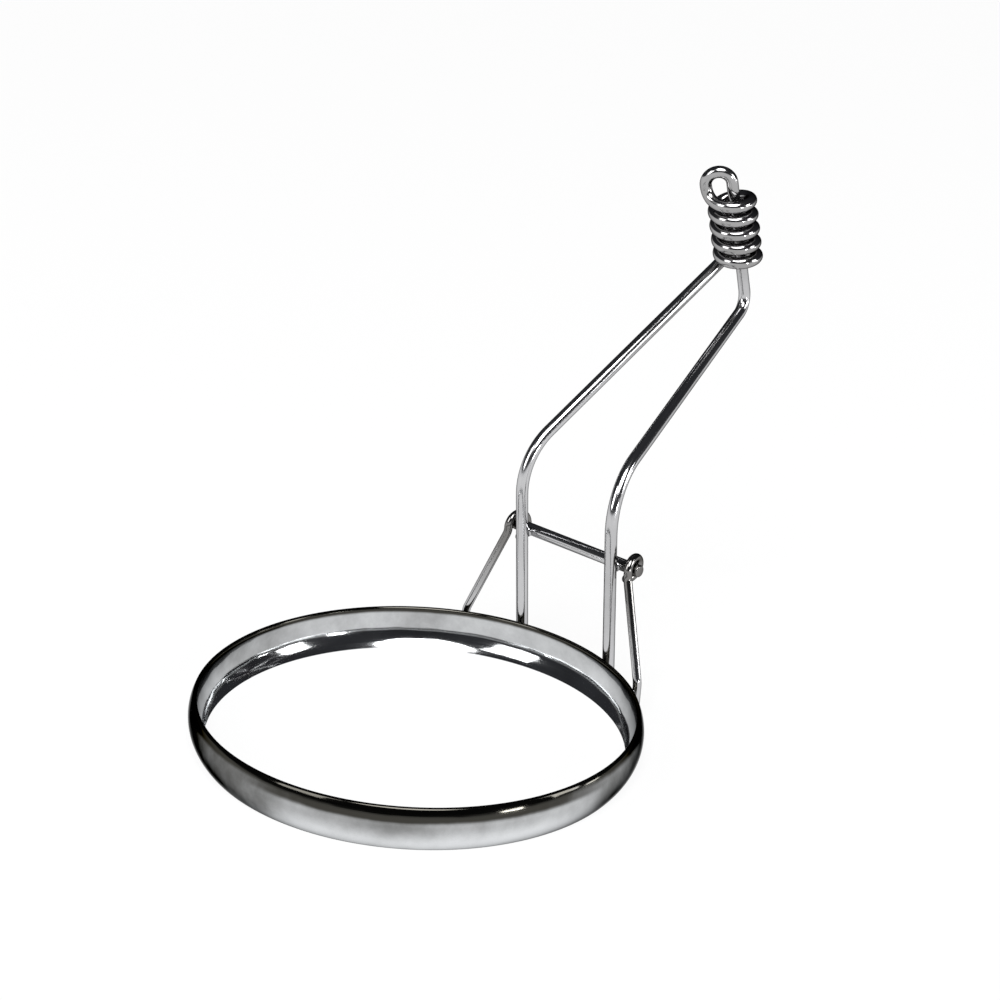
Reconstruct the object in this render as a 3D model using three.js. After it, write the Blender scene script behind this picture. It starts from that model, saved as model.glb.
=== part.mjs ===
// An egg ring with a folding handle, in polished steel. A bulged band stands on its lower edge.
// Two wire posts are welded to the band and end in eyes, a pivot rod turns in the eyes, and
// the handle, bent from one wire with a coiled grip, is welded to the rod.
// Millimetres, +Z up. The handle reaches out along +X and the rod lies along Y.
import * as THREE from "three";

// Driving dimensions of the band
const bandRadius = 45; // outside, at the crown of the bulge
const bandHeight = 9;
const bandWall = 1;
const bulgeRadius = 8; // arc of the wall's section, outside
const crownHeight = 5.2;

// Wires and the gaps between them
const handleWire = 2.6;
const postWire = 1.8;
const rodDiameter = 2.6;
const seatGap = 0.3; // between pieces that touch or are welded
const eyeClearance = 0.25; // between the rod and the eye round it

// Hinge
const rodHeight = 29.6;
const rodOverhang = 0.3; // past the outer side of each eye
const eyeTurn = THREE.MathUtils.degToRad(295); // how far each eye is curled round the rod
const eyeAdvance = 1.8; // how far each eye winds along the rod, towards the leg beside it

// Posts
const footAngle = THREE.MathUtils.degToRad(31.3); // round the band from the handle
const footEnd = 1.8; // height of the foot's lower end
const footTop = 8.5; // height where the post leaves the band's wall
const footBend = 5;
const neckDrop = 1.2; // from the rod's centre down to the bend into the eye
const neckBend = 4;

// Handle
const legSpacing = 24.3; // between the centre lines of the legs
const legEnd = 3; // height of the legs' lower ends
const legLean = THREE.MathUtils.degToRad(6.1); // towards the band's axis
const stemRise = 17.3; // from the rod to the corner of the upper bend
const stemBend = 14;
const slopeRun = 58.2; // from the upper bend out to the kink
const slopeRise = 26.9;
const kinkBend = 4;
const gripLean = THREE.MathUtils.degToRad(20); // towards the band's axis
const gripStart = 10.3; // from the kink to the first turn
const coilTurns = 5;
const coilGap = 0.8; // between turns
const coilBore = 5.6;
const coreGap = 0.8; // least gap between the coil and the straight wire inside it
const loopRise = 2.8; // from the last turn to the start of the loop's arch
const loopOutset = 1; // how far the loop's rising side stands out past the coil
const loopTurn = THREE.MathUtils.degToRad(40); // loop's plane, turned from the rod towards the ring
const loopLeave = THREE.MathUtils.degToRad(55); // part of the last turn taken up by the loop's rise

// Facets
const bandSegments = 96;
const arcSteps = 7; // along the band's section
const rimSteps = 4;
const wireSides = 8;
const bendStep = THREE.MathUtils.degToRad(15);
const turnSteps = 24;
const riseSteps = 8;

function steel(shade) {
  return new THREE.MeshStandardMaterial({ color: shade, roughness: 0.12, metalness: 1 });
}

function piece(name, geometry, shade) {
  const mesh = new THREE.Mesh(geometry, steel(shade));
  mesh.name = name;
  return mesh;
}

// A wire's centre line, given by points that lie closer together where the wire bends.
class CentreLine extends THREE.Curve {
  constructor(points) {
    super();
    this.points = points;
  }

  indexAt(u) {
    return Math.round(u * (this.points.length - 1));
  }

  getPointAt(u) {
    return this.points[this.indexAt(u)].clone();
  }

  getTangentAt(u) {
    const i = this.indexAt(u);
    const before = this.points[Math.max(i - 1, 0)];
    const after = this.points[Math.min(i + 1, this.points.length - 1)];
    return after.clone().sub(before).normalize();
  }
}

function wireAlong(points, diameter) {
  const corners = [];
  for (let i = 0; i < wireSides; i++) {
    const angle = (2 * Math.PI * i) / wireSides;
    corners.push(new THREE.Vector2(Math.cos(angle), Math.sin(angle)).multiplyScalar(diameter / 2));
  }
  return new THREE.ExtrudeGeometry(new THREE.Shape(corners), {
    steps: points.length - 1,
    extrudePath: new CentreLine(points),
  });
}

// Points along straight runs that are joined by arcs. Each inner corner has its bend radius.
function bentRun(corners) {
  const points = [corners[0].at];
  for (let i = 1; i < corners.length - 1; i++) {
    const { at, bend } = corners[i];
    const into = at.clone().sub(corners[i - 1].at).normalize();
    const out = corners[i + 1].at.clone().sub(at).normalize();
    const turn = into.angleTo(out);
    const start = at.clone().addScaledVector(into, -bend * Math.tan(turn / 2));
    const inward = out.clone().addScaledVector(into, -into.dot(out)).normalize();
    const steps = Math.max(2, Math.ceil(turn / bendStep));
    for (let k = 0; k <= steps; k++) {
      const angle = (turn * k) / steps;
      const point = start.clone().addScaledVector(into, bend * Math.sin(angle));
      points.push(point.addScaledVector(inward, bend * (1 - Math.cos(angle))));
    }
  }
  points.push(corners.at(-1).at);
  return points;
}

// Points on an arc round a centre, from one angle to another, in the plane of two directions.
function arcPoints(centre, across, up, radius, from, to) {
  const steps = Math.max(2, Math.ceil(Math.abs(to - from) / bendStep));
  const points = [];
  for (let k = 0; k <= steps; k++) {
    const angle = from + ((to - from) * k) / steps;
    const point = centre.clone().addScaledVector(across, radius * Math.cos(angle));
    points.push(point.addScaledVector(up, radius * Math.sin(angle)));
  }
  return points;
}

// Joins stretches of a centre line and drops the points where one begins on the end of another.
function joinStretches(...stretches) {
  const least = 0.1;
  return stretches.flat().filter((p, i, all) => i === 0 || p.distanceTo(all[i - 1]) > least);
}

// Band: a rolled strip whose wall bulges outwards, with a round rim and a flat lower edge.
function makeBand() {
  const arcCentre = bandRadius - bulgeRadius;
  const midRadius = bulgeRadius - bandWall / 2;
  const innerRadius = bulgeRadius - bandWall;
  const rimAngle = Math.asin((bandHeight - bandWall / 2 - crownHeight) / midRadius);
  const outerFoot = -Math.asin(crownHeight / bulgeRadius);
  const innerFoot = -Math.asin(crownHeight / innerRadius);
  const onWall = (radius, angle) =>
    new THREE.Vector2(arcCentre + radius * Math.cos(angle), crownHeight + radius * Math.sin(angle));
  const profile = [];
  for (let i = 0; i <= arcSteps; i++) {
    profile.push(onWall(bulgeRadius, outerFoot + ((rimAngle - outerFoot) * i) / arcSteps));
  }
  const rimCentre = onWall(midRadius, rimAngle);
  for (let i = 1; i < rimSteps; i++) {
    const angle = rimAngle + (Math.PI * i) / rimSteps;
    const nose = new THREE.Vector2(Math.cos(angle), Math.sin(angle)).multiplyScalar(bandWall / 2);
    profile.push(rimCentre.clone().add(nose));
  }
  for (let i = 0; i <= arcSteps; i++) {
    profile.push(onWall(innerRadius, rimAngle + ((innerFoot - rimAngle) * i) / arcSteps));
  }
  profile.push(profile[0].clone());
  return new THREE.LatheGeometry(profile, bandSegments).rotateX(Math.PI / 2);
}

// The legs lean in as they rise, and bear on the band's crown below the rod.
const legSide = legSpacing / 2;
const legStandOff = bandRadius + seatGap + handleWire / 2;
const legAtCrown = Math.sqrt(legStandOff ** 2 - legSide ** 2);
const legAt = (height) => legAtCrown - (height - crownHeight) * Math.tan(legLean);
const rodReach = legAt(rodHeight) + (handleWire / 2 + seatGap + rodDiameter / 2) / Math.cos(legLean);
const eyeSide = legSide + handleWire / 2 + seatGap + postWire / 2;

// Post: a foot upright on the band's wall, a leaning stretch, and an eye that is curled over the
// rod from the ring's side and winds towards the leg.
function makePost(side) {
  const eyeRadius = rodDiameter / 2 + eyeClearance + postWire / 2;
  const onEye = (turn) =>
    new THREE.Vector3(
      rodReach - eyeRadius * Math.cos(turn),
      side * (eyeSide + eyeAdvance * (1 - turn / eyeTurn)),
      rodHeight + eyeRadius * Math.sin(turn),
    );
  const eye = [];
  const eyeSteps = Math.ceil(eyeTurn / bendStep);
  for (let i = 0; i <= eyeSteps; i++) {
    eye.push(onEye((eyeTurn * i) / eyeSteps));
  }

  const footRadius = bandRadius + seatGap + postWire / 2;
  const footAt = (height) =>
    new THREE.Vector3(Math.cos(footAngle), side * Math.sin(footAngle), 0)
      .multiplyScalar(footRadius)
      .setZ(height);
  const shank = bentRun([
    { at: footAt(footEnd) },
    { at: footAt(footTop), bend: footBend },
    { at: eye[0].clone().setZ(rodHeight - neckDrop), bend: neckBend },
    { at: eye[0] },
  ]);
  return wireAlong(joinStretches(shank, eye), postWire);
}

// Pivot rod: a straight wire through both eyes, lying against the outer side of the legs.
function makeRod() {
  const half = eyeSide + eyeAdvance + postWire / 2 + rodOverhang;
  const ends = [-half, half].map((y) => new THREE.Vector3(rodReach, y, rodHeight));
  return wireAlong(ends, rodDiameter);
}

// Handle: one wire from the left leg up the slope, round the coiled grip, over the loop at its
// top, down inside the coil and back along the slope to the right leg.
function handleLine() {
  const bendHeight = rodHeight + stemRise;
  const legFoot = (side) => new THREE.Vector3(legAt(legEnd), side * legSide, legEnd);
  const stemTop = (side) => new THREE.Vector3(legAt(bendHeight), side * legSide, bendHeight);
  const kink = new THREE.Vector3(legAt(bendHeight) + slopeRun, 0, bendHeight + slopeRise);
  const along = new THREE.Vector3(-Math.sin(gripLean), 0, Math.cos(gripLean));
  const outwards = new THREE.Vector3(Math.cos(gripLean), 0, Math.sin(gripLean));
  const sideways = new THREE.Vector3(0, 1, 0);
  const onGrip = (out, side, rise) =>
    kink
      .clone()
      .addScaledVector(outwards, out)
      .addScaledVector(sideways, side)
      .addScaledVector(along, rise);

  const coilRadius = (coilBore + handleWire) / 2;
  const coilSide = coilBore / 2 - handleWire / 2 - coreGap; // the coil's axis beside the straight wire
  const pitch = handleWire + coilGap;
  const onCoil = (angle) =>
    onGrip(
      coilRadius * Math.sin(angle),
      coilSide + coilRadius * Math.cos(angle),
      gripStart + (pitch * angle) / (2 * Math.PI),
    );
  const coilEnd = 2 * Math.PI * coilTurns - loopTurn - loopLeave;
  const coil = [];
  const coilSteps = Math.round((coilEnd / (2 * Math.PI)) * turnSteps);
  for (let i = 0; i <= coilSteps; i++) {
    coil.push(onCoil((coilEnd * i) / coilSteps));
  }

  const archReach = coilRadius + loopOutset;
  const archOut = -archReach * Math.sin(loopTurn);
  const archSide = coilSide + archReach * Math.cos(loopTurn);
  const archStart = gripStart + pitch * coilTurns + loopRise;
  const archRadius = Math.hypot(archOut, archSide) / 2;
  const across = onGrip(archOut, archSide, 0).sub(kink).normalize();
  const nudge = 0.01;
  const leaving = onCoil(coilEnd).sub(onCoil(coilEnd - nudge)).normalize();
  const rising = new THREE.CubicBezierCurve3(
    onCoil(coilEnd),
    onCoil(coilEnd).addScaledVector(leaving, coilRadius / 2),
    onGrip(archOut, archSide, archStart - loopRise),
    onGrip(archOut, archSide, archStart),
  ).getSpacedPoints(riseSteps);
  const archMiddle = onGrip(archOut / 2, archSide / 2, archStart);
  const arch = arcPoints(archMiddle, across, along, archRadius, 0, Math.PI);

  const leftRun = bentRun([{ at: legFoot(1) }, { at: stemTop(1), bend: stemBend }, { at: onCoil(0) }]);
  const rightRun = bentRun([
    { at: onGrip(0, 0, archStart) },
    { at: kink, bend: kinkBend },
    { at: stemTop(-1), bend: stemBend },
    { at: legFoot(-1) },
  ]);
  return joinStretches(leftRun, coil, rising, arch, rightRun);
}

// Least gap between stretches of a wire that lie apart along it, measured on points 1 mm apart.
function leastGap(points, diameter) {
  const spacing = 1;
  const dense = [];
  let travelled = 0;
  for (let i = 1; i < points.length; i++) {
    const length = points[i].distanceTo(points[i - 1]);
    const parts = Math.ceil(length / spacing);
    for (let k = 0; k < parts; k++) {
      const at = points[i - 1].clone().lerp(points[i], k / parts);
      dense.push({ at, along: travelled + (length * k) / parts });
    }
    travelled += length;
  }
  const apart = 3 * diameter;
  let least = Infinity;
  dense.forEach((a, i) => {
    for (const b of dense.slice(i + 1)) {
      if (b.along - a.along > apart) {
        least = Math.min(least, a.at.distanceTo(b.at) - diameter);
      }
    }
  });
  return least;
}

const handlePoints = handleLine();
console.log("handle wire: least gap to itself", leastGap(handlePoints, handleWire).toFixed(2), "mm");

const eggRing = new THREE.Group();
eggRing.add(piece("ring_band", makeBand(), 0xd2d4d6));
eggRing.add(piece("left_post", makePost(1), 0xb8babd));
eggRing.add(piece("right_post", makePost(-1), 0xb8babd));
eggRing.add(piece("pivot_rod", makeRod(), 0xa9abae));
eggRing.add(piece("handle_wire", wireAlong(handlePoints, handleWire), 0xc4c6c9));

// The origin is under the middle of the whole object, on the surface it stands on.
const box = new THREE.Box3().setFromObject(eggRing);
const middle = box.getCenter(new THREE.Vector3());
eggRing.children.forEach((mesh) => mesh.position.set(-middle.x, -middle.y, -box.min.z));

export default eggRing;
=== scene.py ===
# An egg ring with a folding handle, in polished steel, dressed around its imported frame.
# Metres, +Z up. The handle reaches out along +X and the pivot rod lies along Y.
import math

import bmesh
import bpy
from mathutils import Matrix, Vector


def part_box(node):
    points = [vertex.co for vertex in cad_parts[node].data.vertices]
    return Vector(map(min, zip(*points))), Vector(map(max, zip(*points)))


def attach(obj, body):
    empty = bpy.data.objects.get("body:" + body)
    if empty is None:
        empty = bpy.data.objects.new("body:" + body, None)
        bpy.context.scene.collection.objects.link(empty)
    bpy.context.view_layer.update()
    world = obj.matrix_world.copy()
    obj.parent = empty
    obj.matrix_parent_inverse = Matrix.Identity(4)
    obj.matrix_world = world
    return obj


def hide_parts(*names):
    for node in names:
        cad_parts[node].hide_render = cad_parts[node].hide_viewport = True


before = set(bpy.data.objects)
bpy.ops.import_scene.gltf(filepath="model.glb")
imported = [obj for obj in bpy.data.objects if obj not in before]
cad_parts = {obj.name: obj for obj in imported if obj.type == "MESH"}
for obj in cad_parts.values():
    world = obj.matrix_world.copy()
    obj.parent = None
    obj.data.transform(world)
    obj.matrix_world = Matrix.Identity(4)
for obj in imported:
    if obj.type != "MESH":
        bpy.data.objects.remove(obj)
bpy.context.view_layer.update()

# Camera: set low over the front of the ring, turned a little about its own axis, so that the
# ring lies at the lower left of the picture and the grip at the upper right.
camera_azimuth = math.radians(-49.24)
camera_elevation = math.radians(20.71)
camera_roll = math.radians(4.09)
camera_distance = 0.3953
camera_lens = 71.45
camera_aim = Vector((-0.0059, 0.0011, 0.0452))

looking = Vector((
    -math.sin(camera_azimuth) * math.cos(camera_elevation),
    math.cos(camera_azimuth) * math.cos(camera_elevation),
    -math.sin(camera_elevation),
))
level_right = Vector((math.cos(camera_azimuth), math.sin(camera_azimuth), 0))
level_up = level_right.cross(looking)
camera_right = level_right * math.cos(camera_roll) + level_up * math.sin(camera_roll)
camera_up = level_up * math.cos(camera_roll) - level_right * math.sin(camera_roll)
camera = bpy.data.objects.new("camera", bpy.data.cameras.new("camera"))
camera.data.lens = camera_lens
camera.data.sensor_width = 36
camera.data.clip_start = 0.01
camera.matrix_world = (
    Matrix.Translation(camera_aim - looking * camera_distance)
    @ Matrix((camera_right, camera_up, -looking)).transposed().to_4x4()
)
bpy.context.collection.objects.link(camera)
scene = bpy.context.scene
scene.camera = camera
scene.view_settings.view_transform = "Standard"


# Studio: a white floor that sweeps up into a dark room, and soft boxes that show as clean bright
# shapes in the steel.
def add_node(tree, kind, **settings):
    """A new node of the kind in the tree, with the settings given."""
    made = tree.nodes.new(kind)
    for name, value in settings.items():
        setattr(made, name, value)
    return made


floor_size = 30.0
floor_colour = (0.9, 0.9, 0.9, 1)
floor_glow = 0.86  # share of plain white in what the camera and the steel see of the floor
floor_mesh = bpy.data.meshes.new("floor")
floor_half = floor_size / 2
floor_mesh.from_pydata(
    [(-floor_half, -floor_half, 0), (floor_half, -floor_half, 0),
     (floor_half, floor_half, 0), (-floor_half, floor_half, 0)],
    [],
    [(0, 1, 2, 3)],
)
floor = bpy.data.objects.new("floor", floor_mesh)
bpy.context.collection.objects.link(floor)
floor_material = bpy.data.materials.new("white_floor")
floor_material.use_nodes = True
tree = floor_material.node_tree
tree.nodes.clear()
paths = add_node(tree, "ShaderNodeLightPath")
camera_or_glossy = add_node(tree, "ShaderNodeMath", operation="MAXIMUM")
seen = add_node(tree, "ShaderNodeMath", operation="MAXIMUM")
share = add_node(tree, "ShaderNodeMath", operation="MULTIPLY")
share.inputs[1].default_value = floor_glow
matte = add_node(tree, "ShaderNodeBsdfDiffuse")
matte.inputs["Color"].default_value = floor_colour
glow = add_node(tree, "ShaderNodeEmission")
mixed = add_node(tree, "ShaderNodeMixShader")
result = add_node(tree, "ShaderNodeOutputMaterial")
tree.links.new(paths.outputs["Is Camera Ray"], camera_or_glossy.inputs[0])
tree.links.new(paths.outputs["Is Glossy Ray"], camera_or_glossy.inputs[1])
tree.links.new(camera_or_glossy.outputs[0], seen.inputs[0])
tree.links.new(paths.outputs["Is Transmission Ray"], seen.inputs[1])
tree.links.new(seen.outputs[0], share.inputs[0])
tree.links.new(share.outputs[0], mixed.inputs["Fac"])
tree.links.new(matte.outputs[0], mixed.inputs[1])
tree.links.new(glow.outputs[0], mixed.inputs[2])
tree.links.new(mixed.outputs[0], result.inputs["Surface"])
floor_mesh.materials.append(floor_material)

room_sweep = (0.95, 0.955, 0.965, 1)
room_dark = (0.035, 0.036, 0.04, 1)
sweep_top = (math.sin(math.radians(2)), math.sin(math.radians(7)))  # where the sweep fades out
world = bpy.data.worlds.new("room")
world.use_nodes = True
scene.world = world
tree = world.node_tree
tree.nodes.clear()
where = add_node(tree, "ShaderNodeTexCoord")
height = add_node(tree, "ShaderNodeSeparateXYZ")
fade = add_node(tree, "ShaderNodeMapRange", interpolation_type="SMOOTHSTEP")
fade.inputs["From Min"].default_value = sweep_top[0]
fade.inputs["From Max"].default_value = sweep_top[1]
tone = add_node(tree, "ShaderNodeMix", data_type="RGBA")
tone.inputs["A"].default_value = room_sweep
tone.inputs["B"].default_value = room_dark
background = add_node(tree, "ShaderNodeBackground")
result = add_node(tree, "ShaderNodeOutputWorld")
tree.links.new(where.outputs["Generated"], height.inputs[0])
tree.links.new(height.outputs["Z"], fade.inputs["Value"])
tree.links.new(fade.outputs["Result"], tone.inputs["Factor"])
tree.links.new(tone.outputs["Result"], background.inputs["Color"])
tree.links.new(background.outputs[0], result.inputs["Surface"])


def soft_box(name, place, aim, size, power):
    """A rectangular lamp at a place, turned towards its aim."""
    lamp = bpy.data.lights.new(name, "AREA")
    lamp.shape = "RECTANGLE"
    lamp.size, lamp.size_y = size
    lamp.energy = power
    made = bpy.data.objects.new(name, lamp)
    facing = (Vector(aim) - Vector(place)).to_track_quat("-Z", "Y")
    made.matrix_world = Matrix.Translation(place) @ facing.to_matrix().to_4x4()
    bpy.context.collection.objects.link(made)


ceiling_light = bpy.data.lights.new("ceiling_light", "SUN")
ceiling_light.energy = 3.3
ceiling_light.angle = math.radians(40)
ceiling = bpy.data.objects.new("ceiling_light", ceiling_light)
ceiling_fall = Vector((0.35, 0.30, -0.66))
ceiling.matrix_world = ceiling_fall.to_track_quat("-Z", "Y").to_matrix().to_4x4()
bpy.context.collection.objects.link(ceiling)
whole_part = (0, 0, 0.04)
near_wall = (-0.03, 0, 0.006)
low_box_size = (0.12, 0.06)
soft_box("left_box", place=(-0.75, 0.15, 0.45), aim=whole_part, size=(0.35, 0.5), power=3.0)
soft_box("right_box", place=(0.35, -0.7, 0.3), aim=whole_part, size=(0.22, 0.35), power=2.0)
soft_box("low_front_box", place=(-0.04, -0.8, 0.08), aim=near_wall, size=low_box_size, power=0.9)
soft_box("low_right_box", place=(0.55, -0.6, 0.08), aim=near_wall, size=low_box_size, power=0.3)


# Ring band: a thin steel strip rolled into a ring and butt-welded at the handle. Its wall
# bulges outwards, its rim is rounded and its lower edge is cut flat to stand on.
band_radius = 0.045
band_height = 0.009
band_wall = 0.001
bulge_radius = 0.008
crown_height = 0.0052
edge_round = 0.00012
band_segments = 300
wall_steps = 28
rim_steps = 12
sharp_edge = math.radians(50)  # faces that meet at more than this are shaded apart
outer_dark_reflection = (0.0010, 0.0056)  # heights between which the outer wall darkens more and more, a painted dark reflection
rim_dark_reflection = (0.0060, 0.0070)  # heights between which it darkens under the rim, a painted dark reflection
inner_dark_reflection = (0.0074, 0.0086)  # the same on the inner wall
outer_dark_reflection_depth = 0.42  # the painted darkening runs from 0, clean, to 1, darkened all over
inner_dark_reflection_depth = 0.22
shade_front_angle = math.radians(-132)  # direction of the band's front, which the painted dark reflection leaves lighter than its sides
side_shade_spread = (math.radians(28), math.radians(52))  # angles off the front where the painted dark reflection sets in
side_shade_fade = (math.radians(72), math.radians(100))  # angles where it fades out towards the handle
side_shade_foot = (-0.002, 0.003)  # heights between which it fades out towards the lower edge
side_shade_depth = 0.62
band_line_scale = (45, 45, 5200)  # polishing lines a metre: few along the band, many up its height
band_low, band_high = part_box("ring_band")
band_centre = (band_low + band_high) / 2
band_axis = Vector((band_centre.x, band_centre.y, 0))


def new_tree(name, sizes):
    """An empty Geometry Nodes tree with a geometry input and output, a material and named sizes."""
    tree = bpy.data.node_groups.new(name, "GeometryNodeTree")
    tree.interface.new_socket("Geometry", in_out="INPUT", socket_type="NodeSocketGeometry")
    tree.interface.new_socket("Material", in_out="INPUT", socket_type="NodeSocketMaterial")
    for size, kind in sizes.items():
        tree.interface.new_socket(size, in_out="INPUT", socket_type=kind)
    tree.interface.new_socket("Geometry", in_out="OUTPUT", socket_type="NodeSocketGeometry")
    return tree


def close_tree(tree, ends_at, inputs):
    """Shades the mesh smooth, realizes it, gives it the material and sends it out."""
    smooth = add_node(tree, "GeometryNodeSetShadeSmooth")
    realized = add_node(tree, "GeometryNodeRealizeInstances")
    finish = add_node(tree, "GeometryNodeSetMaterial")
    output = add_node(tree, "NodeGroupOutput")
    tree.links.new(ends_at, smooth.inputs["Geometry"])
    tree.links.new(smooth.outputs["Geometry"], realized.inputs["Geometry"])
    tree.links.new(realized.outputs["Geometry"], finish.inputs["Geometry"])
    tree.links.new(inputs.outputs["Material"], finish.inputs["Material"])
    tree.links.new(finish.outputs["Geometry"], output.inputs["Geometry"])


def made_by(name, tree, start, material, sizes):
    """Runs a tree on a starting mesh and returns the plain mesh object that comes out."""
    worker = bpy.data.objects.new(name + "_start", start)
    bpy.context.collection.objects.link(worker)
    modifier = worker.modifiers.new("made", "NODES")
    modifier.node_group = tree
    values = {"Material": material, **sizes}
    for socket in tree.interface.items_tree:
        if socket.in_out == "INPUT" and socket.name in values:
            modifier[socket.identifier] = values[socket.name]
    evaluated = worker.evaluated_get(bpy.context.evaluated_depsgraph_get())
    mesh = bpy.data.meshes.new_from_object(evaluated)
    bpy.data.objects.remove(worker)
    outward = bmesh.new()
    outward.from_mesh(mesh)
    bmesh.ops.recalc_face_normals(outward, faces=outward.faces)
    outward.to_mesh(mesh)
    outward.free()
    mesh.name = name
    piece = bpy.data.objects.new(name, mesh)
    bpy.context.collection.objects.link(piece)
    return piece


patch_scale = 34  # dull patches a metre
patch_onset = 0.4  # level of the patches at which steel that carries no painted shade and no wear starts to dull
line_span = (0.3, 0.75)  # levels of the fine lines between which the polish falls off
line_relief = 0.04  # height of the fine lines as a share of the waves' height
wave_scale = 160  # shallow waves a metre
wave_height = 0.0003
wave_strength = 0.35


def steel(name, clean, dulled_and_shaded, edge, polish_range, patch_depth, patch_seed, streaks):
    """Polished steel, dulled by heat and handling in broad patches, and darkened further by painted
    shade and painted dark reflections marked on the mesh, with some wear on the grip.
    Its reflections darken to the edge colour at a glancing angle. streaks(tree) gives the vector
    along which the polish runs in fine lines."""
    material = bpy.data.materials.new(name)
    material.use_nodes = True
    tree = material.node_tree
    shader = tree.nodes["Principled BSDF"]
    shader.inputs["Metallic"].default_value = 1.0
    shader.inputs["Specular Tint"].default_value = (*edge, 1)
    place = add_node(tree, "ShaderNodeTexCoord")

    patches = add_node(tree, "ShaderNodeTexNoise", noise_dimensions="4D")
    patches.inputs["W"].default_value = patch_seed
    patches.inputs["Scale"].default_value = patch_scale
    patches.inputs["Detail"].default_value = 6
    patches.inputs["Roughness"].default_value = 0.6
    tree.links.new(place.outputs["Object"], patches.inputs["Vector"])
    # Painted shade and painted dark reflections, marked on the mesh, darken the tone together with the
    # patches.
    painted_shade_and_wear = add_node(tree, "ShaderNodeAttribute", attribute_name="painted_shade_and_wear")
    uneven = add_node(tree, "ShaderNodeMath", operation="MULTIPLY_ADD")
    uneven.inputs[1].default_value = patch_depth
    tree.links.new(patches.outputs["Fac"], uneven.inputs[0])
    tree.links.new(painted_shade_and_wear.outputs["Fac"], uneven.inputs[2])
    dulling_and_shade = add_node(tree, "ShaderNodeMapRange", interpolation_type="SMOOTHSTEP")
    dulling_and_shade.inputs["From Min"].default_value = patch_onset * patch_depth
    dulling_and_shade.inputs["From Max"].default_value = patch_onset * patch_depth + 1
    tree.links.new(uneven.outputs[0], dulling_and_shade.inputs["Value"])
    tone = add_node(tree, "ShaderNodeMix", data_type="RGBA")
    tone.inputs["A"].default_value = (*clean, 1)
    tone.inputs["B"].default_value = (*dulled_and_shaded, 1)
    tree.links.new(dulling_and_shade.outputs["Result"], tone.inputs["Factor"])
    tree.links.new(tone.outputs["Result"], shader.inputs["Base Color"])

    lines = add_node(tree, "ShaderNodeTexNoise")
    lines.inputs["Scale"].default_value = 1
    lines.inputs["Detail"].default_value = 5
    tree.links.new(streaks(tree), lines.inputs["Vector"])
    polish = add_node(tree, "ShaderNodeMapRange")
    polish.inputs["From Min"].default_value = line_span[0]
    polish.inputs["From Max"].default_value = line_span[1]
    polish.inputs["To Min"].default_value = polish_range[0]
    polish.inputs["To Max"].default_value = polish_range[1]
    tree.links.new(lines.outputs["Fac"], polish.inputs["Value"])
    tree.links.new(polish.outputs["Result"], shader.inputs["Roughness"])

    waves = add_node(tree, "ShaderNodeTexNoise")
    waves.inputs["Scale"].default_value = wave_scale
    waves.inputs["Detail"].default_value = 1
    tree.links.new(place.outputs["Object"], waves.inputs["Vector"])
    relief = add_node(tree, "ShaderNodeMath", operation="MULTIPLY_ADD")
    relief.inputs[1].default_value = line_relief
    tree.links.new(lines.outputs["Fac"], relief.inputs[0])
    tree.links.new(waves.outputs["Fac"], relief.inputs[2])
    bump = add_node(tree, "ShaderNodeBump")
    bump.inputs["Strength"].default_value = wave_strength
    bump.inputs["Distance"].default_value = wave_height
    tree.links.new(relief.outputs[0], bump.inputs["Height"])
    tree.links.new(bump.outputs["Normal"], shader.inputs["Normal"])
    return material


def band_streaks(tree):
    """Polishing lines that run round the band: stretched along it and fine across its height."""
    place = add_node(tree, "ShaderNodeTexCoord")
    stretch = add_node(tree, "ShaderNodeMapping")
    stretch.inputs["Scale"].default_value = band_line_scale
    tree.links.new(place.outputs["Object"], stretch.inputs["Vector"])
    return stretch.outputs["Vector"]


# Its dark colour serves the random dull patches and the band's painted dark reflections.
band_steel = steel(
    "band_steel",
    clean=(0.74, 0.755, 0.77),
    dulled_and_shaded=(0.05, 0.048, 0.042),
    edge=(0.15, 0.15, 0.15),
    polish_range=(0.05, 0.14),
    patch_depth=1.3,
    patch_seed=3.0,
    streaks=band_streaks,
)


def ramp(value, low, high):
    """Rises smoothly from 0 at low to 1 at high."""
    share = min(max((value - low) / (high - low), 0), 1)
    return share * share * (3 - 2 * share)


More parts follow.
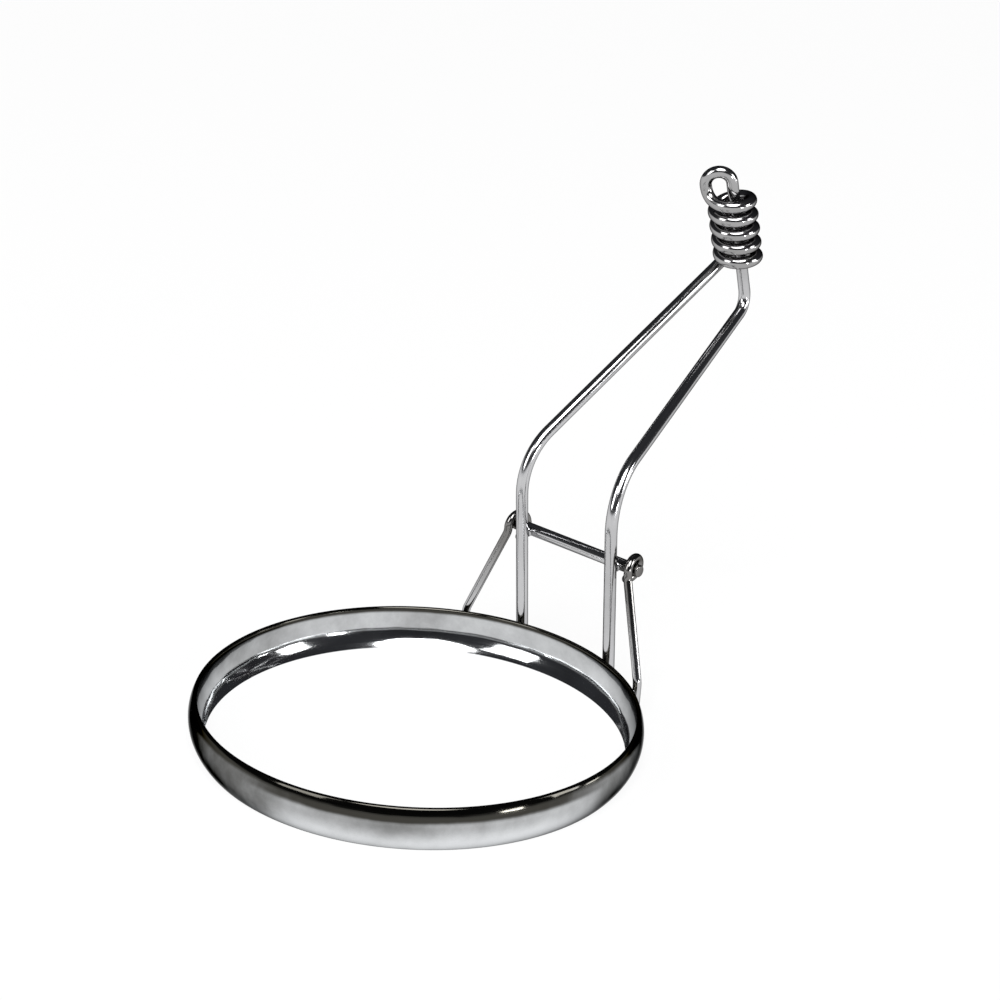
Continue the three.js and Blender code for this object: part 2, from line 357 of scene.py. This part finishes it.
def wall_profile():
    """The wall's closed section: distance from the axis, height and painted dark reflection of each
    point.
    """
    arc_centre = band_radius - bulge_radius
    middle = bulge_radius - band_wall / 2
    inner = bulge_radius - band_wall
    rim_angle = math.asin((band_height - band_wall / 2 - crown_height) / middle)
    outer_foot = -math.asin(crown_height / bulge_radius)
    inner_foot = -math.asin(crown_height / inner)

    def on_wall(radius, angle):
        return arc_centre + radius * math.cos(angle), crown_height + radius * math.sin(angle)

    outer_corner = on_wall(bulge_radius, outer_foot)
    inner_corner = on_wall(inner, inner_foot)
    outer_lift = outer_foot + edge_round / bulge_radius
    inner_lift = inner_foot + edge_round / inner
    section = [(outer_corner[0] - edge_round, 0, 0)]
    for step in range(wall_steps + 1):
        reach, height = on_wall(bulge_radius, outer_lift + (rim_angle - outer_lift) * step / wall_steps)
        # Painted dark reflection: the outer wall darkens upwards and is darkest under the rim.
        darkening = outer_dark_reflection_depth * ramp(height, *outer_dark_reflection)
        darkening += (1 - outer_dark_reflection_depth) * ramp(height, *rim_dark_reflection)
        section.append((reach, height, darkening))
    rim_at = on_wall(middle, rim_angle)
    nose = band_wall / 2
    # Painted dark reflection: the rim's nose is darkest all round.
    for step in range(1, rim_steps):
        angle = rim_angle + math.pi * step / rim_steps
        section.append((rim_at[0] + nose * math.cos(angle), rim_at[1] + nose * math.sin(angle), 1))
    for step in range(wall_steps + 1):
        reach, height = on_wall(inner, rim_angle + (inner_lift - rim_angle) * step / wall_steps)
        # Painted dark reflection on the inner wall, darkest at the rim.
        darkening = inner_dark_reflection_depth + (1 - inner_dark_reflection_depth) * ramp(height, *inner_dark_reflection)
        section.append((reach, height, darkening))
    section.append((inner_corner[0] + edge_round, 0, 0))
    return section


band_tree = new_tree("rolled_band", {"Rolling radius": "NodeSocketFloat", "Segments": "NodeSocketInt"})
inputs = add_node(band_tree, "NodeGroupInput")
section_curve = add_node(band_tree, "GeometryNodeMeshToCurve")
rolled_round = add_node(band_tree, "GeometryNodeCurvePrimitiveCircle")
rolled = add_node(band_tree, "GeometryNodeCurveToMesh")
band_tree.links.new(inputs.outputs["Geometry"], section_curve.inputs["Mesh"])
band_tree.links.new(inputs.outputs["Rolling radius"], rolled_round.inputs["Radius"])
band_tree.links.new(inputs.outputs["Segments"], rolled_round.inputs["Resolution"])
band_tree.links.new(rolled_round.outputs["Curve"], rolled.inputs["Curve"])
band_tree.links.new(section_curve.outputs["Curve"], rolled.inputs["Profile Curve"])
close_tree(band_tree, rolled.outputs["Mesh"], inputs)

section = wall_profile()
section_mesh = bpy.data.meshes.new("band_section")
section_mesh.from_pydata(
    [(reach - band_radius, -height, 0) for reach, height, _ in section],
    [(i, (i + 1) % len(section)) for i in range(len(section))],
    [],
)
# The painted dark reflections are stored on the band's section for its steel to read.
painted_shade_and_wear = section_mesh.attributes.new("painted_shade_and_wear", "FLOAT", "POINT")
painted_shade_and_wear.data.foreach_set("value", [darkening for _, _, darkening in section])
ring_band = made_by(
    "rolled_ring_band",
    band_tree,
    section_mesh,
    band_steel,
    {"Rolling radius": band_radius, "Segments": band_segments},
)
ring_band.data.transform(Matrix.Translation(band_axis))
ring_band.data.set_sharp_from_angle(angle=sharp_edge)

# Painted dark reflection on the outer wall alone, on both sides of its front.
band_front = Vector((math.cos(shade_front_angle), math.sin(shade_front_angle), 0))
for vertex, mark in zip(ring_band.data.vertices, ring_band.data.attributes["painted_shade_and_wear"].data):
    from_axis = Vector((vertex.co.x, vertex.co.y, 0)) - band_axis
    if vertex.normal.dot(from_axis) > 0:
        off_front = from_axis.angle(band_front)
        side_shaded = ramp(off_front, *side_shade_spread) * (1 - ramp(off_front, *side_shade_fade))
        side_shaded *= ramp(vertex.co.z, *side_shade_foot) * (1 - ramp(vertex.co.z, *inner_dark_reflection))
        mark.value += (side_shade_depth - mark.value) * side_shaded
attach(ring_band, "ring")
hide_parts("ring_band")


# Posts: two steel wires, each with its foot welded upright on the band's outer wall, a leaning
# stretch, and an eye that is curled over the pivot rod and winds towards the leg beside it.
handle_wire = 0.0026
post_wire = 0.0018
rod_diameter = 0.0026
seat_gap = 0.0003
eye_clearance = 0.00025
leg_spacing = 0.0243
foot_angle = math.radians(31.3)
foot_end = 0.0018
foot_top = 0.0085
foot_bend = 0.005
neck_drop = 0.0012
neck_bend = 0.004
eye_turn = math.radians(295)
eye_advance = 0.0018
eye_shade_heights = (0.0185, 0.0265)  # heights between which the posts darken towards the eyes, a painted shade at the hinge
eye_shade_depth = 0.8
bend_step = math.radians(4)
wire_sides = 28
end_round = 0.0003
end_margin = 1.2  # roundings from a cut end within which a line's own points are left out
wire_lines_along = 60  # draw lines a metre: few along a wire, many around it
wire_lines_around = 6000
rod_low, rod_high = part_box("pivot_rod")
rod_centre = (rod_low + rod_high) / 2
leg_side = leg_spacing / 2
eye_side = leg_side + handle_wire / 2 + seat_gap + post_wire / 2


def bent_run(corners):
    """Points along straight runs joined by arcs. corners holds (place, bend radius) pairs."""
    points = [corners[0][0]]
    for (before, _), (at, bend), (after, _) in zip(corners, corners[1:], corners[2:]):
        into = (at - before).normalized()
        out = (after - at).normalized()
        turned = into.angle(out)
        start = at - into * bend * math.tan(turned / 2)
        inward = (out - into * into.dot(out)).normalized()
        steps = max(2, math.ceil(turned / bend_step))
        for step in range(steps + 1):
            angle = turned * step / steps
            points.append(start + into * bend * math.sin(angle) + inward * bend * (1 - math.cos(angle)))
    return points + [corners[-1][0]]


def arc_points(centre, across, up, radius, first, last):
    """Points on an arc round a centre in the plane of two directions."""
    steps = max(2, math.ceil(abs(last - first) / bend_step))
    angles = [first + (last - first) * step / steps for step in range(steps + 1)]
    return [centre + across * radius * math.cos(a) + up * radius * math.sin(a) for a in angles]


def joined(*stretches):
    """One list of points from several stretches, without the doubled ones where they meet."""
    least = 0.00005
    points = []
    for point in [p for stretch in stretches for p in stretch]:
        if not points or (point - points[-1]).length > least:
            points.append(point)
    return points


wire_tree = new_tree("drawn_wire", {"Diameter": "NodeSocketFloat", "Sides": "NodeSocketInt"})
inputs = add_node(wire_tree, "NodeGroupInput")
path = add_node(wire_tree, "GeometryNodeMeshToCurve")
travelled = add_node(wire_tree, "GeometryNodeSplineParameter")
mark_along = add_node(wire_tree, "GeometryNodeStoreNamedAttribute", data_type="FLOAT", domain="POINT")
mark_along.inputs["Name"].default_value = "along"
half = add_node(wire_tree, "ShaderNodeMath", operation="MULTIPLY")
half.inputs[1].default_value = 0.5
drawn_round = add_node(wire_tree, "GeometryNodeCurvePrimitiveCircle")
on_section = add_node(wire_tree, "GeometryNodeInputPosition")
mark_around = add_node(
    wire_tree, "GeometryNodeStoreNamedAttribute", data_type="FLOAT_VECTOR", domain="POINT"
)
mark_around.inputs["Name"].default_value = "around"
thickness = add_node(wire_tree, "GeometryNodeInputNamedAttribute", data_type="FLOAT")
thickness.inputs["Name"].default_value = "thickness"
drawn = add_node(wire_tree, "GeometryNodeCurveToMesh")
drawn.inputs["Fill Caps"].default_value = True
wire_tree.links.new(inputs.outputs["Geometry"], path.inputs["Mesh"])
wire_tree.links.new(path.outputs["Curve"], mark_along.inputs["Geometry"])
wire_tree.links.new(travelled.outputs["Length"], mark_along.inputs["Value"])
wire_tree.links.new(inputs.outputs["Diameter"], half.inputs[0])
wire_tree.links.new(half.outputs[0], drawn_round.inputs["Radius"])
wire_tree.links.new(inputs.outputs["Sides"], drawn_round.inputs["Resolution"])
wire_tree.links.new(drawn_round.outputs["Curve"], mark_around.inputs["Geometry"])
wire_tree.links.new(on_section.outputs["Position"], mark_around.inputs["Value"])
wire_tree.links.new(mark_along.outputs["Geometry"], drawn.inputs["Curve"])
wire_tree.links.new(mark_around.outputs["Geometry"], drawn.inputs["Profile Curve"])
wire_tree.links.new(thickness.outputs["Attribute"], drawn.inputs["Scale"])
close_tree(wire_tree, drawn.outputs["Mesh"], inputs)


def wire_streaks(tree):
    """Draw lines that run along the wire, from its own marks along and around."""
    along = add_node(tree, "ShaderNodeAttribute", attribute_name="along")
    around = add_node(tree, "ShaderNodeAttribute", attribute_name="around")
    slow = add_node(tree, "ShaderNodeMath", operation="MULTIPLY")
    slow.inputs[1].default_value = wire_lines_along
    fine = add_node(tree, "ShaderNodeVectorMath", operation="SCALE")
    fine.inputs["Scale"].default_value = wire_lines_around
    raised = add_node(tree, "ShaderNodeCombineXYZ")
    total = add_node(tree, "ShaderNodeVectorMath", operation="ADD")
    tree.links.new(along.outputs["Fac"], slow.inputs[0])
    tree.links.new(slow.outputs[0], raised.inputs["Z"])
    tree.links.new(around.outputs["Vector"], fine.inputs[0])
    tree.links.new(fine.outputs["Vector"], total.inputs[0])
    tree.links.new(raised.outputs["Vector"], total.inputs[1])
    return total.outputs["Vector"]


# Its dark colour serves the random dull patches, the painted shade at the eyes and rod ends, and the
# darker grip.
wire_steel = steel(
    "wire_steel",
    clean=(0.56, 0.56, 0.57),
    dulled_and_shaded=(0.2, 0.195, 0.19),
    edge=(0.04, 0.04, 0.04),
    polish_range=(0.08, 0.2),
    patch_depth=1.3,
    patch_seed=4.0,
    streaks=wire_streaks,
)


def rounded_end(at, inward, diameter):
    """Points and widths of a cut end that is rounded over, from the cut inwards."""
    round_steps = 4
    points, widths = [], []
    for step in range(round_steps + 1):
        angle = math.pi / 2 * step / round_steps
        points.append(at + inward * end_round * (1 - math.cos(angle)))
        widths.append(1 - 2 * end_round / diameter * (1 - math.sin(angle)))
    return points, widths


def wire_piece(name, points, diameter, darkening):
    """A round wire along the points, with its two cut ends rounded over. darkening(point) gives how far
    painted shade, and on the grip some wear, darkens it.
    """
    first, last = points[0], points[-1]
    clear = end_round * end_margin
    between = [p for p in points if (p - first).length > clear and (p - last).length > clear]
    head, head_widths = rounded_end(first, (points[1] - first).normalized(), diameter)
    tail, tail_widths = rounded_end(last, (points[-2] - last).normalized(), diameter)
    line = head + between + tail[::-1]
    mesh = bpy.data.meshes.new(name + "_line")
    mesh.from_pydata(line, [(i, i + 1) for i in range(len(line) - 1)], [])
    thickness = mesh.attributes.new("thickness", "FLOAT", "POINT")
    thickness.data.foreach_set("value", head_widths + [1.0] * len(between) + tail_widths[::-1])
    painted_shade_and_wear = mesh.attributes.new("painted_shade_and_wear", "FLOAT", "POINT")
    painted_shade_and_wear.data.foreach_set("value", [darkening(point) for point in line])
    piece = made_by(name, wire_tree, mesh, wire_steel, {"Diameter": diameter, "Sides": wire_sides})
    piece.data.set_sharp_from_angle(angle=sharp_edge)
    return piece


def post_line(side):
    """A post's middle line, from the end of its foot to the free end of its eye."""
    eye_radius = rod_diameter / 2 + eye_clearance + post_wire / 2
    eye = []
    eye_steps = math.ceil(eye_turn / bend_step)
    for step in range(eye_steps + 1):
        turned = eye_turn * step / eye_steps
        eye.append(Vector((
            rod_centre.x - eye_radius * math.cos(turned),
            side * (eye_side + eye_advance * (1 - step / eye_steps)),
            rod_centre.z + eye_radius * math.sin(turned),
        )))
    foot_radius = band_radius + seat_gap + post_wire / 2
    foot = band_axis + Vector((math.cos(foot_angle), side * math.sin(foot_angle), 0)) * foot_radius
    shank = bent_run([
        (foot + Vector((0, 0, foot_end)), 0),
        (foot + Vector((0, 0, foot_top)), foot_bend),
        (eye[0] - Vector((0, 0, neck_drop)), neck_bend),
        (eye[0], 0),
    ])
    return joined(shank, eye)


def eye_shade(point):
    """Painted shade: the posts darken towards their eyes at the hinge."""
    return eye_shade_depth * ramp(point.z, *eye_shade_heights)


for node, side in (("left_post", 1), ("right_post", -1)):
    post = wire_piece("bent_" + node, post_line(side), post_wire, eye_shade)
    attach(post, "ring")
    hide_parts(node)


# Pivot rod: a straight steel wire that turns in the two eyes. It lies against the outer side of
# the handle's legs and is welded to them, so it turns with the handle.
rod_steps = 24
rod_line = [
    Vector((rod_centre.x, rod_low.y + (rod_high.y - rod_low.y) * step / rod_steps, rod_centre.z))
    for step in range(rod_steps + 1)
]


def rod_end_shade(point):
    """Painted shade: the ends that turn in the eyes are darkened like the eyes."""
    return eye_shade_depth * ramp(abs(point.y), leg_side, eye_side)


pivot_rod = wire_piece("turned_pivot_rod", rod_line, rod_diameter, rod_end_shade)
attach(pivot_rod, "handle")
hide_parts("pivot_rod")


# Handle: one bent steel wire, from the left leg up the slope, round the coiled grip, over the loop
# at the top, down inside the coil and back along the slope to the right leg. The pivot rod, welded
# across its legs, carries it in the posts' eyes.
leg_end = 0.003
leg_lean = math.radians(6.1)
stem_rise = 0.0173
stem_bend = 0.014
slope_run = 0.0582
slope_rise = 0.0269
kink_bend = 0.004
grip_lean = math.radians(20)
grip_start = 0.0103
coil_turns = 5
coil_gap = 0.0008
coil_bore = 0.0056
core_gap = 0.0008
loop_rise = 0.0028
loop_outset = 0.001
loop_turn = math.radians(40)
loop_leave = math.radians(55)
turn_steps = 90
grip_wear_and_shade_heights = (0.076, 0.088)  # heights between which the wire darkens towards the grip, partly painted dark reflection, partly dulling from handling
grip_wear_and_shade_depth = 0.42
leg_stand_off = band_radius + seat_gap + handle_wire / 2
leg_at_crown = band_centre.x + math.sqrt(leg_stand_off**2 - leg_side**2)


def leg_at(height):
    """How far out along X the middle of a leaning leg lies at a height."""
    return leg_at_crown - (height - crown_height) * math.tan(leg_lean)


def handle_line():
    """The handle's middle line, from the lower end of the left leg to that of the right leg."""
    bend_height = rod_centre.z + stem_rise
    leg_foot = {side: Vector((leg_at(leg_end), side * leg_side, leg_end)) for side in (1, -1)}
    stem_top = {side: Vector((leg_at(bend_height), side * leg_side, bend_height)) for side in (1, -1)}
    kink = Vector((leg_at(bend_height) + slope_run, 0, bend_height + slope_rise))
    along = Vector((-math.sin(grip_lean), 0, math.cos(grip_lean)))
    out = Vector((math.cos(grip_lean), 0, math.sin(grip_lean)))
    sideways = Vector((0, 1, 0))
    coil_radius = (coil_bore + handle_wire) / 2
    coil_side = coil_bore / 2 - handle_wire / 2 - core_gap
    pitch = handle_wire + coil_gap

    def on_grip(reach, side, rise):
        return kink + out * reach + sideways * side + along * rise

    def on_coil(angle):
        rise = grip_start + pitch * angle / (2 * math.pi)
        return on_grip(coil_radius * math.sin(angle), coil_side + coil_radius * math.cos(angle), rise)

    coil_end = 2 * math.pi * coil_turns - loop_turn - loop_leave
    coil_steps = round(coil_end / (2 * math.pi) * turn_steps)
    coil = [on_coil(coil_end * step / coil_steps) for step in range(coil_steps + 1)]

    arch_reach = coil_radius + loop_outset
    arch_out = -arch_reach * math.sin(loop_turn)
    arch_side = coil_side + arch_reach * math.cos(loop_turn)
    arch_start = grip_start + pitch * coil_turns + loop_rise
    arch_radius = math.hypot(arch_out, arch_side) / 2
    across = (on_grip(arch_out, arch_side, 0) - kink).normalized()
    nudge = 0.01
    leaving = (on_coil(coil_end) - on_coil(coil_end - nudge)).normalized()
    pulls = [
        on_coil(coil_end),
        on_coil(coil_end) + leaving * coil_radius / 2,
        on_grip(arch_out, arch_side, arch_start - loop_rise),
        on_grip(arch_out, arch_side, arch_start),
    ]
    rising = []
    rise_steps = 24
    for step in range(rise_steps + 1):
        t = step / rise_steps
        weights = ((1 - t) ** 3, 3 * t * (1 - t) ** 2, 3 * t**2 * (1 - t), t**3)
        rising.append(sum((pull * weight for pull, weight in zip(pulls, weights)), Vector()))
    arch_middle = on_grip(arch_out / 2, arch_side / 2, arch_start)
    arch = arc_points(arch_middle, across, along, arch_radius, 0, math.pi)
    left_run = bent_run([(leg_foot[1], 0), (stem_top[1], stem_bend), (on_coil(0), 0)])
    right_run = bent_run([
        (on_grip(0, 0, arch_start), 0),
        (kink, kink_bend),
        (stem_top[-1], stem_bend),
        (leg_foot[-1], 0),
    ])
    return joined(left_run, coil, rising, arch, right_run)


def grip_wear_and_shade(point):
    """The grip is darkened from a little below the coil upwards: partly painted dark reflection, partly
    dulling from handling.
    """
    return grip_wear_and_shade_depth * ramp(point.z, *grip_wear_and_shade_heights)


handle = wire_piece("coiled_handle_wire", handle_line(), handle_wire, grip_wear_and_shade)
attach(handle, "handle")
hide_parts("handle_wire")


# Welds: small beads of the wires' own steel, pressed out on both sides where each post's foot
# meets the band's wall and where the pivot rod crosses the handle's legs.
foot_bead = Vector((0.00055, 0.00125, 0.0019))  # half sizes: off the wall, round the band, up
cross_bead = Vector((0.0006, 0.00135, 0.0012))  # half sizes: off the leg, along the rod, up
bead_ripple = 0.00022
ripple_scale = 1100  # ripples a metre
bead_tree = new_tree("weld_beads", {"Ripple": "NodeSocketFloat"})
inputs = add_node(bead_tree, "NodeGroupInput")
drop = add_node(bead_tree, "GeometryNodeMeshIcoSphere")
drop.inputs["Radius"].default_value = 1
drop.inputs["Subdivisions"].default_value = 4
half_sizes = add_node(bead_tree, "GeometryNodeInputNamedAttribute", data_type="FLOAT_VECTOR")
half_sizes.inputs["Name"].default_value = "half_sizes"
turned = add_node(bead_tree, "GeometryNodeInputNamedAttribute", data_type="FLOAT_VECTOR")
turned.inputs["Name"].default_value = "turned"
rotation = add_node(bead_tree, "FunctionNodeEulerToRotation")
beads = add_node(bead_tree, "GeometryNodeInstanceOnPoints")
loose = add_node(bead_tree, "GeometryNodeRealizeInstances")
ripples = add_node(bead_tree, "ShaderNodeTexNoise")
ripples.inputs["Scale"].default_value = ripple_scale
ripples.inputs["Detail"].default_value = 1
centred = add_node(bead_tree, "ShaderNodeMath", operation="SUBTRACT")
centred.inputs[1].default_value = 0.5
height = add_node(bead_tree, "ShaderNodeMath", operation="MULTIPLY")
outwards = add_node(bead_tree, "GeometryNodeInputNormal")
lift = add_node(bead_tree, "ShaderNodeVectorMath", operation="SCALE")
rippled = add_node(bead_tree, "GeometryNodeSetPosition")
bead_tree.links.new(inputs.outputs["Geometry"], beads.inputs["Points"])
bead_tree.links.new(drop.outputs["Mesh"], beads.inputs["Instance"])
bead_tree.links.new(turned.outputs["Attribute"], rotation.inputs["Euler"])
bead_tree.links.new(rotation.outputs["Rotation"], beads.inputs["Rotation"])
bead_tree.links.new(half_sizes.outputs["Attribute"], beads.inputs["Scale"])
bead_tree.links.new(beads.outputs["Instances"], loose.inputs["Geometry"])
bead_tree.links.new(ripples.outputs["Fac"], centred.inputs[0])
bead_tree.links.new(centred.outputs[0], height.inputs[0])
bead_tree.links.new(inputs.outputs["Ripple"], height.inputs[1])
bead_tree.links.new(outwards.outputs["Normal"], lift.inputs[0])
bead_tree.links.new(height.outputs[0], lift.inputs["Scale"])
bead_tree.links.new(loose.outputs["Geometry"], rippled.inputs["Geometry"])
bead_tree.links.new(lift.outputs["Vector"], rippled.inputs["Offset"])
close_tree(bead_tree, rippled.outputs["Geometry"], inputs)


def weld_piece(name, places, turns, half_sizes):
    """Beads at the places, each turned by its own Euler angles."""
    mesh = bpy.data.meshes.new(name + "_places")
    mesh.from_pydata(places, [], [])
    sizes = mesh.attributes.new("half_sizes", "FLOAT_VECTOR", "POINT")
    sizes.data.foreach_set("vector", [value for _ in places for value in half_sizes])
    angles = mesh.attributes.new("turned", "FLOAT_VECTOR", "POINT")
    angles.data.foreach_set("vector", [value for turn in turns for value in turn])
    return made_by(name, bead_tree, mesh, wire_steel, {"Ripple": bead_ripple})


foot_angles = [foot_angle, -foot_angle]
foot_welds = weld_piece(
    "post_foot_welds",
    [
        band_axis + Vector((math.cos(a), math.sin(a), 0)) * (band_radius + seat_gap / 2)
        + Vector((0, 0, crown_height))
        for a in foot_angles
    ],
    [(0, 0, a) for a in foot_angles],
    foot_bead,
)
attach(foot_welds, "ring")

off_leg = Vector((math.cos(leg_lean), 0, math.sin(leg_lean)))
crossing = rod_centre - off_leg * (rod_diameter + seat_gap) / 2
rod_welds = weld_piece(
    "rod_welds",
    [Vector((crossing.x, side * leg_side, crossing.z)) for side in (1, -1)],
    [(0, -leg_lean, 0)] * 2,
    cross_bead,
)
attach(rod_welds, "handle")
